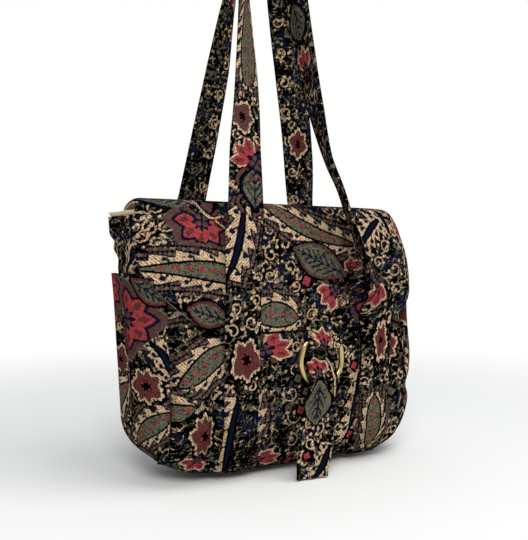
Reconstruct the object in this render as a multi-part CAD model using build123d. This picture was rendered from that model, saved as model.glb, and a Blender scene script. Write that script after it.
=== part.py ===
from build123d import *
import os
from math import acos, atan2, cos, degrees, radians, sin, sqrt

# A soft tapestry handbag, in millimetres. X runs across the bag, Y from its front to its back
# and Z up, and the origin is the middle of the base.

# The cloth
cloth = 2.0             # one layer of the tapestry with its backing
lining_cloth = 1.0      # the plain lining
clearance = 0.3         # between two layers that lie on each other

# The bag's own shell
width = 317.0           # gusset to gusset, at the fullest
mouth_width = 330.0     # the gussets lean out again at the mouth
height = 257.0          # base to the mouth's edge
flare_from = 196.0      # where the gussets start to lean out
corner = 56.0           # the bottom corners, seen from the front
edge = 46.0             # the soft rounding between a panel and the gusset
depth_base = 112.0      # front to back at the base
depth_belly = 118.0     # front to back where it is fullest
depth_mouth = 104.0     # front to back at the mouth
belly = 95.0            # height of the fullest place
seam_inset = 16.0       # how far a panel turns round the edge before its seam
base_length = 204.0     # the base piece, between its end seams
rim = 4.0               # the lining's rolled edge above the tapestry

# The pockets
pocket_width = 330.0    # outside of one side pocket to the other
pocket_corner = 62.0
pocket_edge = 50.0
pocket_base = 118.0     # front to back, as the shell's three depths
pocket_belly = 131.0
pocket_mouth = 118.0
pocket_hem = 8.0        # height of the pockets' bottom seam
side_pocket_top = 202.0
side_pocket_reach = 138.0   # the side pockets turn onto the front as far as this
side_pocket_back = 26.0     # their back seam on the gusset
front_pocket_top = 140.0

# The flap
flap_bottom = 146.0     # its straight lower edge
flap_half_bottom = 93.0
flap_half = 163.0
flap_crest = 275.0      # outside of the fold over the mouth
flap_sewn_from = 226.0  # its seam on the back panel
flap_slack = 0.8        # how far it stands off the back panel above that seam
flap_flat = 114.0       # beyond this, each side, it follows the bag's corner round
flap_round = 54.0       # with this radius

# The handles
strap = 38.0            # width
strap_thick = 3.2       # a folded and quilted strap
strap_x = 79.0          # the legs' places each side of the handles' middle
sag_aside = 10.0        # how far the soft body has slid to the left of the handles' middle
front_free = 236.0      # the front left leg leaves the bag above this
front_right_free = 158.0
back_free = 256.0
handle_top = 600.0      # inside of the handles' bend

# The closure
closure_x = 18.0        # middle of the ring's bar
ring_wire = 5.0
ring_radius = 24.0      # the bow, to the wire's centre
ring_height = 40.0      # bow to bar, between the wire's centres
ring_bar = 43.0         # bar, between the wires' centres at its corners
ring_corner = 4.5
ring_tilt = 6.0         # degrees, the right side hangs lower
tab_width = 37.0        # clear of the ring's corners
tab_over = 8.0          # how far the tab lies on the flap
tail_thick = 3.0
tail_top_width = 31.0
tail_end_width = 44.0
tail_end = 2.0          # height of the tail's free end

os.makedirs("parts", exist_ok=True)


def half_depth(depths, z):
    """Half of a form's depth at a height, on the arc through its base, belly and mouth."""
    low, full, top = (depth / 2 for depth in depths)
    # The circle through (low, 0), (full, belly) and (top, height)
    a = (full**2 - low**2 + belly**2) / 2
    b = (top**2 - low**2 + height**2) / 2
    spread = (full - low) * height - (top - low) * belly
    centre_y = (a * height - b * belly) / spread
    centre_z = ((full - low) * b - (top - low) * a) / spread
    radius = sqrt((low - centre_y) ** 2 + centre_z**2)
    return centre_y + sqrt(radius**2 - (z - centre_z) ** 2)


shell_depths = (depth_base, depth_belly, depth_mouth)
pocket_depths = (pocket_base, pocket_belly, pocket_mouth)


def side_outline(depths, inset):
    """The form seen from the side: two arcs, bellied out above the base and run on below it."""
    front = ThreePointArc(
        (-half_depth(depths, -edge) + inset, -edge),
        (-half_depth(depths, belly) + inset, belly),
        (-half_depth(depths, height) + inset, height),
    )
    back = mirror(front, about=Plane.YZ)
    return make_face([front, back, Line(front @ 0, back @ 0), Line(front @ 1, back @ 1)])


def form(full_width, top_width, corner_radius, edge_radius, depths, inset=0.0, above=0.0):
    """The bag's solid form, a constant distance inside its outer face."""
    half = full_width / 2 - inset
    arc = CenterArc((half - corner_radius + inset, corner_radius), corner_radius - inset, -90, 90)
    rise = Line(arc @ 1, (half, flare_from))
    top = (top_width / 2 - inset, height)
    if top_width > full_width:
        flare = TangentArc(rise @ 1, top, tangent=(0, 1))
    else:
        flare = Line(rise @ 1, top)
    right = [Line((0, inset), arc @ 0), arc, rise, flare, Line(top, (0, height))]
    left = [mirror(line, about=Plane.YZ) for line in right]
    front = make_face(right + left)
    solid = extrude(Plane.XZ * front, full_width, both=True)
    solid &= extrude(Plane.YZ * side_outline(depths, inset), full_width, both=True)
    long_edges = [
        line
        for line in solid.edges()
        if abs(line.center().Y) > depths[0] / 4 and line.center().Z < height - clearance
    ]
    solid = fillet(long_edges, edge_radius - inset)
    if above:
        solid += extrude(solid.faces().sort_by(Axis.Z)[-1], above)
    return solid


def shell_form(inset=0.0, above=0.0):
    return form(width, mouth_width, corner, edge, shell_depths, inset, above)


def pocket_form(inset=0.0):
    return form(pocket_width, pocket_width, pocket_corner, pocket_edge, pocket_depths, inset)


def block(x_low, x_high, y_low, y_high, z_low, z_high):
    size = (x_high - x_low, y_high - y_low, z_high - z_low)
    return Pos(x_low, y_low, z_low) * Box(*size, align=(Align.MIN, Align.MIN, Align.MIN))


far = 400.0             # past everything


# Panels
# The front and the back turn round the edge to their seams, and one strip of two gussets and
# a base runs between them.
def seam_core():
    """The space between the two rows of seams, which the gusset strip lies in."""
    face = side_outline(shell_depths, seam_inset)
    core = extrude(Plane.YZ * face, far, both=True)
    core += extrude(core.faces().sort_by(Axis.Z)[-1], far)
    return core + extrude(core.faces().sort_by(Axis.Z)[0], far)


def cut_panels(skin):
    """Cuts a skin into the five pieces that it is sewn from."""
    core = seam_core()
    outside = skin - core
    strip = skin & core
    reach = base_length / 2
    return {
        "front": outside & block(-far, far, -far, 0, -far, far),
        "back": outside & block(-far, far, 0, far, -far, far),
        "left": strip & block(-far, -reach, -far, far, -far, far),
        "right": strip & block(reach, far, -far, far, -far, far),
        "base": strip & block(-reach, reach, -far, far, -far, far),
    }


body = shell_form()
outer_skin = body - shell_form(cloth, above=edge)
outer = cut_panels(outer_skin)

lining_outside = shell_form(cloth + clearance, above=clearance)
hollow = shell_form(cloth + clearance + lining_cloth, above=edge)
rolled_edge = Pos(0, 0, clearance) * extrude(body.faces().sort_by(Axis.Z)[-1], rim)
inner = cut_panels(lining_outside + rolled_edge - hollow)

# Pockets
# Each is a bellows of one cloth: its mouth stands off the shell and its edges turn in to it.
pocket_outside = pocket_form()
pocket_hollow = pocket_form(cloth)
around_shell = shell_form(-clearance)


def pocket(reach, room):
    return (pocket_outside & reach) - (pocket_hollow & room) - around_shell


def side_pocket(side):
    near = side_pocket_reach + clearance / 2
    reach = block(near, far, -far, side_pocket_back, pocket_hem, side_pocket_top)
    room = block(near + cloth, far, -far, side_pocket_back - cloth, pocket_hem + cloth, height)
    if side < 0:
        reach = mirror(reach, about=Plane.YZ)
        room = mirror(room, about=Plane.YZ)
    return pocket(reach, room)


def front_pocket():
    near = side_pocket_reach - clearance / 2
    reach = block(-near, near, -far, 0, pocket_hem, front_pocket_top)
    room = block(cloth - near, near - cloth, -far, 0, pocket_hem + cloth, height)
    return pocket(reach, room)


# Bands of cloth
def beside(path, distance, samples=20):
    """Points a constant distance to the left of a path drawn from the side."""
    points = []
    for step in range(samples + 1):
        at = step / samples
        points.append(path @ at + (path % at).rotate(Axis.Z, 90) * distance)
    return points


def strip_face(path, right, left):
    """A cloth's cut edge: what lies between two distances to the left of a path."""
    near = beside(path, right)
    away = beside(path, left)
    ends = [Line(near[0], away[0]), Line(near[-1], away[-1])]
    return make_face([Spline(near), Spline(away), *ends])


def band(paths, thick, half_width):
    """A band of cloth along paths that follow one another, as wide as it lies across X."""
    faces = Sketch() + [strip_face(path, -thick / 2, thick / 2) for path in paths]
    return extrude(Plane.YZ * faces, half_width, both=True)


# Flap
# It is sewn to the back panel, bends over the open mouth and hangs in front of the pockets.
flap_thick = lining_cloth + cloth


def flap_path():
    """The inner face of the flap's lining from the side, from its lower edge to its back seam."""
    top_clear = height + rim + 3 * clearance
    mouth_clear = half_depth(shell_depths, height) + clearance
    back_seam = half_depth(shell_depths, flap_sewn_from) + clearance
    front_low = half_depth(pocket_depths, flap_bottom) + clearance
    front_high = half_depth(pocket_depths, side_pocket_top) + 2 * cloth
    crest = flap_crest - flap_thick
    return Spline(
        (-front_low, flap_bottom),
        (-front_low - clearance, flap_bottom + 30),
        (-front_high + clearance, side_pocket_top + 6),
        (-mouth_clear - 9.5, height - 20),
        (-mouth_clear - 4.5, height - 4),
        (-mouth_clear + 4, top_clear + 3.5),
        (-25, crest - 2.5),
        (5, crest),
        (30, crest - 1.5),
        (mouth_clear - 4, top_clear + 3.5),
        (mouth_clear + 3.2, height - 3),
        (back_seam + flap_slack, height - 16),
        (back_seam, flap_sewn_from),
    )


def flap_outline():
    edge_line = Spline(
        (flap_half_bottom, flap_bottom),
        (131, 168),
        (153, 193),
        (flap_half, 226),
        tangents=[(1, 0.1), (0, 1)],
    )
    side = Line(edge_line @ 1, (flap_half, flap_crest + edge))
    half = [Line((0, flap_bottom), edge_line @ 0), edge_line, side, Line(side @ 1, (0, flap_crest + edge))]
    return make_face(half + [mirror(line, about=Plane.YZ) for line in half])


def narrowed(x):
    """How much of its depth the flap keeps at a place across the bag."""
    over = max(abs(x) - flap_flat, 0)
    return 1 - (flap_round - sqrt(flap_round**2 - over**2)) / (pocket_belly / 2)


def layer(thick):
    """The flap's cloths up to a distance outside its inner face."""
    stations = [flap_half * 1.01 * across / 7 for across in range(-7, 8)]
    points = [
        [Vector(x, place.X * narrowed(x), place.Y) for x in stations]
        for place in beside(flap_path(), 0, 32)
    ]
    face = Face.make_surface_from_array_of_points(points, tol=0.05, max_deg=3)
    if face.normal_at(face.center()).Z < 0:
        face = -face
    sheet = Solid.thicken(face, thick)
    return sheet & extrude(Plane.XZ * flap_outline(), far, both=True)


def flap_front(z):
    """How far in front of the origin the flap's outer face lies at a height."""
    face = beside(flap_path(), flap_thick)
    for low, high in zip(face, face[1:]):
        if high.Y >= z:
            return -low.X + (low.X - high.X) * (z - low.Y) / (high.Y - low.Y)
    return -face[0].X


# Handles
# Each is one strap, sewn to the bag from its bottom seam, free above, and bent over at the top.
def rounded_edge(depths, radius, z):
    """Half depth of a form where its bottom edge is rounded."""
    drop = max(radius - z, 0)
    return half_depth(depths, max(z, radius)) - radius + sqrt(radius**2 - drop**2)


def sewn_leg(points, x):
    """The sewn leg, with the point and the direction that its free part goes on from."""
    path = Spline(points)
    leg = Pos(x, 0, 0) * band([path], strap_thick, strap / 2)
    return leg, (x, path.position_at(1).X, path.position_at(1).Y), Vector(0, (path % 1).X, (path % 1).Y)


def front_leg(x, top, leave):
    lie = 4 * clearance + strap_thick / 2
    heights = (pocket_hem, 9.2, 11, 13.5, 17, 22, 28, 35, 43, pocket_edge + 3, 70, belly, 115, 128)
    points = [(-rounded_edge(pocket_depths, pocket_edge, z) - lie, z) for z in heights]
    over_flap = [flap_bottom - 1, flap_bottom + 5]
    if top > side_pocket_top:
        over_flap += [flap_bottom + 28, side_pocket_top]
    points += [(-flap_front(z) - lie, z) for z in over_flap]
    points.append((-flap_front(top) - lie - leave, top))
    return sewn_leg(points, x)


def back_leg(x, top):
    lie = 4 * clearance + strap_thick / 2
    heights = (pocket_hem, 9.2, 11, 13.5, 17, 22, 28, 35, 42, edge + 4, 70, belly, 125, 155, 180, 200)
    points = [(rounded_edge(shell_depths, edge, z) + lie, z) for z in heights]
    seam = half_depth(shell_depths, flap_sewn_from) + clearance + flap_slack + flap_thick
    points += [(seam + lie, z) for z in (flap_sewn_from - 8, flap_sewn_from, (flap_sewn_from + top) / 2, top)]
    return sewn_leg(points, x)


def turned(stops, at):
    """The strap's turn about its own length, between the stops' turns."""
    for (start, first), (end, second) in zip(stops, stops[1:]):
        if at <= end:
            part = (at - start) / (end - start)
            ease = part * part * (3 - 2 * part)
            return first + (second - first) * ease
    return stops[-1][1]


def free_strap(stops, rise, fall, count):
    """A twisting strap through (x, y, z, turn) stops. Turn is the width's angle from X."""
    places = [Vector(stop[:3]) for stop in stops]
    path = Spline(places, tangents=[rise, fall])
    turns = [(path.param_at_point(place), stop[3]) for place, stop in zip(places, stops)]
    sections = []
    for step in range(count + 1):
        at = step / count
        turn = radians(turned(turns, at))
        plane = Plane(path @ at, x_dir=(cos(turn), sin(turn), 0), z_dir=path % at)
        x, y = strap / 2, strap_thick / 2
        sections.append([plane.from_local_coords(p) for p in ((-x, -y), (x, -y), (x, y), (-x, y))])
    walls = [
        Face.make_surface_from_curves(
            Edge.make_line(low[side - 1], low[side]), Edge.make_line(high[side - 1], high[side])
        )
        for low, high in zip(sections, sections[1:])
        for side in range(4)
    ]
    ends = [make_face(Polyline(section, close=True)).face() for section in (sections[0], sections[-1])]
    return Solid(Shell(walls + ends))


def front_handle():
    left, left_end, rise = front_leg(sag_aside - strap_x, front_free, strap_thick)
    right, right_end, fall = front_leg(sag_aside + strap_x, front_right_free, 0.0)
    stops = [
        (*left_end, 180),
        (-64, -66, 268, 182),
        (-60, -58, 322, 193),
        (-56, -53, 362, 203),
        (-53.5, -48, 402, 212),
        (-52, -43, 440, 222),
        (-50, -37, 484, 232),
        (-43, -29, 550, 252),
        (-20, -18, handle_top, 266),
        (3, -28, 550, 270),
        (8, -39, 485, 270),
        (13.5, -49, 420, 266),
        (21, -58, 364, 257),
        (30, -66, 316, 244),
        (39, -73, 288, 241),
        (46, -79, 260, 241),
        (55, -84, 232, 241),
        (67, -87, 208, 236),
        (79, -84.5, 188, 216),
        (86, -78.5, 173, 194),
        (*right_end, 180),
    ]
    return left + free_strap(stops, rise, -fall, 52) + right


def back_handle():
    left, left_end, rise = back_leg(sag_aside - strap_x, back_free)
    right, right_end, fall = back_leg(sag_aside + strap_x - 6, back_free)
    stops = [
        (*left_end, 0),
        (-65, 57.5, 284, 16),
        (-53, 50, 353, 20),
        (-40, 44, 426, 28),
        (-29, 38, 499, 48),
        (-17, 29, 554, 74),
        (6, 18, handle_top, 88),
        (29, 29, 554, 106),
        (40, 38, 505, 152),
        (51, 44, 438, 170),
        (64, 50, 363, 174),
        (75, 57, 290, 176),
        (*right_end, 180),
    ]
    return left + free_strap(stops, rise, -fall, 52) + right


# Closure
# The ring hangs from a tab on the flap's edge, and the tail, sewn under that edge, passes
# through the ring and hangs in front of it.
pocket_front = max(half_depth(pocket_depths, z) for z in range(0, int(height), 5))
tail_lie = pocket_front + clearance + tail_thick / 2
bar_clear = ring_wire / 2 + clearance + cloth / 2      # bar's centre to the middle of the tab's cloth
bar_y = -(tail_lie + tail_thick / 2 + clearance + cloth / 2 + bar_clear)
bar_z = flap_bottom - 15.0
ring_place = Pos(closure_x, bar_y, bar_z) * Rot(0, ring_tilt, 0)


def d_ring():
    """A bow of three quarters of a circle's sweep, tangent sides and a straight bar."""
    bar_height = ring_height - ring_radius
    bar_end = (ring_bar / 2, bar_height)
    reach = sqrt(bar_end[0] ** 2 + bar_height**2)
    if reach > ring_radius:
        start = degrees(atan2(bar_height, bar_end[0]) - acos(ring_radius / reach))
    else:
        start = 0.0
    bow = CenterArc((0, 0), ring_radius, 180 - start, 180 + 2 * start)
    bar = Line((-bar_end[0], bar_height), bar_end)
    face = make_face([bow, Line(bow @ 1, bar @ 1), bar, Line(bar @ 0, bow @ 0)])
    face = fillet(face.vertices().sort_by(Axis.Y)[-2:], ring_corner)
    wire = (Plane.XZ * face).wire()
    start_plane = Plane(origin=wire @ 0, z_dir=wire % 0)
    ring = sweep(start_plane * Circle(ring_wire / 2), path=wire)
    return ring_place * Pos(0, 0, -bar_height) * ring


def hook(start, end):
    """An S-bend between two upright runs, drawn from the side."""
    start = Vector(start)
    end = Vector(end)
    middle = (start.Y + end.Y) / 2
    return Bezier(start, (start.X, middle), (end.X, middle), end)


def ring_tab():
    """A loop of cloth round the bar, sewn over and under the flap's lower edge."""
    front_at = -flap_front(flap_bottom) - clearance - cloth / 2 - bar_y
    back_at = -half_depth(pocket_depths, flap_bottom) - flap_thick / 2 - bar_y
    edge_at = flap_bottom - bar_z
    tilt_rise = tab_width / 2 * sin(radians(ring_tilt)) + clearance
    over = Line((front_at, edge_at + tab_over), (front_at, edge_at))
    front = hook(over @ 1, (-bar_clear, 0))
    loop = CenterArc((0, 0), bar_clear, 180, 180)
    back = hook(loop @ 1, (back_at, edge_at - tilt_rise))
    return ring_place * band([over, front, loop, back], cloth, tab_width / 2)


def closure_tail():
    """A gathered strap: sewn behind the bar, out through the ring, down over its bow."""
    hang = bar_y - ring_wire / 2 - clearance - tail_thick / 2
    crossing_top = bar_z - bar_clear - cloth
    crossing_low = bar_z - ring_height + 13
    sewn = Line((-tail_lie, front_pocket_top - 11), (-tail_lie, crossing_top))
    crossing = hook(sewn @ 1, (hang, crossing_low))
    hanging = Line(crossing @ 1, (hang, tail_end))
    middle = closure_x - 3
    half_top = tail_top_width / 2
    half_end = tail_end_width / 2
    right = [(half_top, front_pocket_top), (half_top, crossing_low), (half_end, tail_end)]
    left = [(-x, z) for x, z in reversed(right)]
    outline = make_face(Polyline(*right, *left, close=True))
    strip = band([sewn, crossing, hanging], tail_thick, tail_end_width)
    return Pos(middle, 0, 0) * (strip & extrude(Plane.XZ * outline, far, both=True))


nodes = {
    "front_panel": outer["front"],
    "back_panel": outer["back"],
    "gusset_left": outer["left"],
    "gusset_right": outer["right"],
    "base_panel": outer["base"],
    "lining_front": inner["front"],
    "lining_back": inner["back"],
    "lining_left": inner["left"],
    "lining_right": inner["right"],
    "lining_base": inner["base"],
    "side_pocket_left": side_pocket(-1),
    "side_pocket_right": side_pocket(1),
    "front_pocket": front_pocket(),
    "flap": layer(flap_thick) - layer(lining_cloth),
    "flap_lining": layer(lining_cloth - clearance / 2),
    "front_handle": front_handle(),
    "back_handle": back_handle(),
    "ring_tab": ring_tab(),
    "d_ring": d_ring(),
    "closure_tail": closure_tail(),
}

for name, shape in nodes.items():
    export_step(shape, f"parts/{name}.step")
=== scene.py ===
from math import atan2, ceil, copysign, cos, degrees, exp, floor, hypot, pi, radians, sin, sqrt
import bpy
import numpy as np
from mathutils import Vector, Matrix, noise


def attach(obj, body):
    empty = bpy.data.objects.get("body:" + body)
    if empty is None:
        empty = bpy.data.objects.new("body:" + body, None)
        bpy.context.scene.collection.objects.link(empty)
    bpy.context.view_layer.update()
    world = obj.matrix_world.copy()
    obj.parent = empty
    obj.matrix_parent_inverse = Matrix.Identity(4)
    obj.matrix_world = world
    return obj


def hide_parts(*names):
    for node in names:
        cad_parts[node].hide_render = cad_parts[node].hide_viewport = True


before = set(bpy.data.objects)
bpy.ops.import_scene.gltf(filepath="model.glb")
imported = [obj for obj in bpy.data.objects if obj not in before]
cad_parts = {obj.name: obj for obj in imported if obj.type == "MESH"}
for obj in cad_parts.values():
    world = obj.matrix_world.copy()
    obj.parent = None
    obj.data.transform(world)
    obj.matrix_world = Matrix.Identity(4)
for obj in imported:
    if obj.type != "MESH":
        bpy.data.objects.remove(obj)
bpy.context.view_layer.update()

mm = 0.001


def deselectAll():
    bpy.ops.object.select_all(action="DESELECT")


def smoothStep(low, high, value):
    part = min(max((value - low) / (high - low), 0.0), 1.0)
    return part * part * (3 - 2 * part)


def bump(centre, spread, value):
    return exp(-((value - centre) / spread) ** 2)


# Points every few millimetres along a curve through the given ones
def smoothPath(points, spacing):
    places = [Vector(point) for point in points]
    result = []
    for index in range(len(places) - 1):
        before = places[max(index - 1, 0)]
        start, end = places[index], places[index + 1]
        after = places[min(index + 2, len(places) - 1)]
        span = (end - start).length
        leave = (end - before) / max((end - before).length, 1e-6) * span
        arrive = (after - start) / max((after - start).length, 1e-6) * span
        steps = max(int(round(span / spacing)), 1)
        for step in range(steps):
            t = step / steps
            h1 = 2 * t**3 - 3 * t**2 + 1
            h2 = t**3 - 2 * t**2 + t
            h3 = -2 * t**3 + 3 * t**2
            h4 = t**3 - t**2
            result.append(start * h1 + leave * h2 + end * h3 + arrive * h4)
    result.append(places[-1])
    return result


def lengthsAlong(points):
    lengths = [0.0]
    for first, second in zip(points, points[1:]):
        lengths.append(lengths[-1] + (second - first).length)
    return lengths


# The point and direction at a length along a path
def pick(points, lengths, along):
    along = min(max(along, 0.0), lengths[-1])
    index = int(np.searchsorted(lengths, along, side="right")) - 1
    index = min(max(index, 0), len(points) - 2)
    span = lengths[index + 1] - lengths[index]
    part = (along - lengths[index]) / span if span else 0.0
    low, high = max(index - 1, 0), min(index + 2, len(points) - 1)
    here = points[index].lerp(points[index + 1], part)
    way = (points[index + 1] - points[low]).lerp(points[high] - points[index], part)
    return here, way.normalized()


bag = {
    "cloth": 2.0,
    "liningCloth": 0.9,
    "height": 257.0,
    "belly": 95.0,
    "flareFrom": 196.0,
    "mouthHalf": 165.0,
    "seamInset": 16.0,
}
shellForm = {"half": 158.5, "mouthHalf": 165.0, "corner": 56.0, "edge": 46.0, "depths": (56.0, 59.0, 52.0)}
pocketForm = {"half": 165.0, "mouthHalf": 165.0, "corner": 62.0, "edge": 50.0, "depths": (59.0, 65.5, 59.0)}


# Half the thickness in the middle: an arc through the depths at the base, the belly and the mouth
def halfDepth(form, z):
    low, full, top = form["depths"]
    belly, height = bag["belly"], bag["height"]
    a = (full**2 - low**2 + belly**2) / 2
    b = (top**2 - low**2 + height**2) / 2
    spread = (full - low) * height - (top - low) * belly
    centreY = (a * height - b * belly) / spread
    centreZ = ((full - low) * b - (top - low) * a) / spread
    radius = hypot(low - centreY, centreZ)
    return centreY + sqrt(radius**2 - (z - centreZ) ** 2)


def halfWidth(form, z):
    corner = form["corner"]
    if z < corner:
        return form["half"] - corner + sqrt(corner**2 - (corner - max(z, 0)) ** 2)
    lean = max(z - bag["flareFrom"], 0) / (bag["height"] - bag["flareFrom"])
    return form["half"] + (form["mouthHalf"] - form["half"]) * lean**2


# How far a place on the front is from the outline
def inside(form, x, z):
    corner = form["corner"]
    start = form["half"] - corner
    if z < corner and abs(x) > start:
        return corner - hypot(abs(x) - start, corner - z)
    return min(z, halfWidth(form, z) - abs(x))


def faceDepth(form, x, z):
    edge = form["edge"]
    near = max(edge - max(inside(form, x, z), 0), 0)
    return halfDepth(form, z) - edge + sqrt(max(edge**2 - near**2, 0))


# Soft dents: the face, its middle across and up, the half sizes, the turn and the depth
dents = (
    ("front", -95, 56, 6, 38, 0, 9.0),
    ("front", -116, 66, 12, 34, 8, -2.5),
    ("front", -70, 34, 24, 26, 0, 3.5),
    ("front", -134, 76, 5, 60, -3, 5.5),
    ("front", -112, 24, 16, 10, 30, 3.0),
    ("front", -40, 30, 20, 30, 20, 2.0),
    ("front", 64, 180, 8, 36, 8, 13.0),
    ("front", 65, 66, 6, 46, -4, 6.0),
    ("front", 46, 52, 11, 34, 0, -2.0),
    ("front", 113, 60, 6, 48, 4, 6.0),
    ("front", 20, 205, 40, 14, 20, 2.5),
    ("front", -120, 190, 26, 10, -50, 3.5),
    ("front", -106, 165, 20, 8, -40, 3.0),
    ("front", -30, 175, 14, 30, 30, 1.8),
    ("left", 0, 233, 60, 5, 0, 4.5),
    ("left", 0, 217, 60, 7, 0, 3.5),
    ("left", 0, 120, 12, 60, 0, 4.0),
    ("left", -20, 60, 14, 24, 20, 3.0),
    ("right", -14, 78, 44, 9, 0, 8.0),
    ("left", 0, 222, 60, 32, 0, -4.5),
    ("right", 0, 212, 70, 44, 0, 9.0),
    ("right", 0, 150, 60, 46, 0, 5.0),
    ("right", 5, 150, 10, 60, 0, 4.0),
)
# How far the sides sag, the right end of the mouth slumps, the low left corner lifts,
# the left mouth corner stands out, and how deep and wide the small wrinkles are
sag = {
    "left": 7.0,
    "right": 2.0,
    "slump": 25.0,
    "slumpFrom": 198.0,
    "slumpOver": 68.0,
    "lift": 9.0,
    "corner": 11.0,
    "wrinkle": 2.6,
    "wrinkleSize": 34.0,
}


# How deep a dent is at a place on its face
def dentDepth(dent, along, z):
    across, up, wide, tall, turn, deep = dent[1:]
    c, s = cos(radians(turn)), sin(radians(turn))
    da, dz = along - across, z - up
    return deep * bump(0, wide, da * c + dz * s) * bump(0, tall, dz * c - da * s)


# Where a place on the stiff form lies on the soft bag; layers stay in their order
def settled(point):
    x, y, z = point
    hang = 1 - smoothStep(30, 190, z)  # the sides sag less towards the mouth
    low = 1 - smoothStep(236, 262, z)
    x += sag["left"] * hang * smoothStep(60, 158, -x) - sag["right"] * hang * smoothStep(60, 158, x)
    fallen = (min(max(z - sag["slumpFrom"], 0), 75) / sag["slumpOver"]) ** 1.4
    x -= sag["slump"] * fallen * smoothStep(70, 165, x) * (1 - smoothStep(275, 340, z))
    corner = smoothStep(198, 252, z) * smoothStep(0, 40, y) * smoothStep(95, 150, -x) * (z < 262)
    x -= sag["corner"] * corner
    z += sag["lift"] * smoothStep(50, 140, -x) * (1 - smoothStep(5, 70, z))
    # The cloth stays still behind the ring
    calm = 1 - bump(18, 34, x) * bump(112, 40, z) if y < 0 else 1.0
    outY = smoothStep(10, 40, abs(y)) * low * smoothStep(4, 24, z)
    size = sag["wrinkleSize"]
    push = noise.noise(Vector((x / size + 3, -3, z / size + 6))) * sag["wrinkle"]
    for dent in dents:
        face = dent[0]
        if face == "front" and y < -10:
            push += dentDepth(dent, x, z)
        elif face == "left" and x < -120 or face == "right" and x > 120:
            x -= dentDepth(dent, y, z) * low * smoothStep(120, 150, abs(x)) * copysign(1, x)
    y -= push * outY * calm * copysign(1, y)
    return x, y, z


# place(u, v) gives the point and the cut's own millimetres
def clothGrid(name, columns, rows, place):
    deselectAll()
    bpy.ops.mesh.primitive_grid_add(x_subdivisions=columns, y_subdivisions=rows, size=2, calc_uvs=False)
    piece = bpy.context.object
    piece.name = name
    mesh = piece.data
    cut = []
    for vertex in mesh.vertices:
        point, flat = place((vertex.co.x + 1) / 2, (vertex.co.y + 1) / 2)
        vertex.co = Vector(settled(point)) * mm
        cut.append(flat)
    layer = mesh.uv_layers.new(name="cloth")
    for loop in mesh.loops:
        layer.data[loop.index].uv = cut[loop.vertex_index]
    bpy.ops.object.shade_smooth()
    outwards(piece)
    return piece


def choose(piece):
    deselectAll()
    piece.select_set(True)
    bpy.context.view_layer.objects.active = piece


# The cloth gets its thickness, half to each side
def thicken(piece, thickness):
    modifier = piece.modifiers.new("thickness", "SOLIDIFY")
    modifier.thickness = thickness * mm
    modifier.offset = 0
    choose(piece)
    bpy.ops.object.modifier_apply(modifier="thickness")


def outwards(piece, fillEnds=False):
    choose(piece)
    bpy.ops.object.mode_set(mode="EDIT")
    bpy.ops.mesh.select_all(action="SELECT")
    bpy.ops.mesh.remove_doubles(threshold=0.00002)
    if fillEnds:
        bpy.ops.mesh.fill_holes(sides=0)
    bpy.ops.mesh.normals_make_consistent(inside=False)
    bpy.ops.object.mode_set(mode="OBJECT")


def finishPiece(piece, slot, nodes, drawing=None):
    if drawing:
        weavePiece(piece, drawing)
    piece.data.materials.clear()
    piece.data.materials.append(finishes[slot])
    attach(piece, "bag")
    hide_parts(*nodes)


def linear(code):
    values = [int(code[at:at + 2], 16) / 255 for at in (1, 3, 5)]
    return tuple(((v + 0.055) / 1.055) ** 2.4 if v > 0.04 else v / 12.92 for v in values) + (1.0,)


def plain(name, colour, roughness=0.9):
    material = bpy.data.materials.new(name)
    material.use_nodes = True
    shader = material.node_tree.nodes["Principled BSDF"]
    shader.inputs["Base Color"].default_value = linear(colour)
    shader.inputs["Roughness"].default_value = roughness
    return material


# Adds a node; each link is an input's name or number with a node, an output or a value
def add(material, kind, settings=None, **links):
    tree = material.node_tree
    node = tree.nodes.new("ShaderNode" + kind)
    for name, value in (settings or {}).items():
        setattr(node, name, value)
    for name, source in links.items():
        socket = node.inputs[int(name[1:])] if name[1:].isdigit() else node.inputs[name.replace("_", " ")]
        if isinstance(source, bpy.types.Node):
            source = source.outputs[0]
        if isinstance(source, bpy.types.NodeSocket):
            tree.links.new(source, socket)
        else:
            socket.default_value = source
    return node


# The yarns of the weave, over a nearly black ground
blackYarn = "#020203"
yarns = {
    "navy": "#0e1324",
    "olive": "#5b5848",
    "mauve": "#503736",
    "maroon": "#542e2c",
    "cream": "#c6a988",
    "red": "#8f373b",
}
# In millimetres. Real threads are about 0.3 mm, too fine to show, so these are drawn coarser
weave = {"thread": 0.8, "ragged": 0.32, "soft": 0.35}
# The two attributes of a piece and the three yarns that each one holds
yarnGroups = (("navy", "olive", "mauve"), ("maroon", "cream", "red"))


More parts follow.
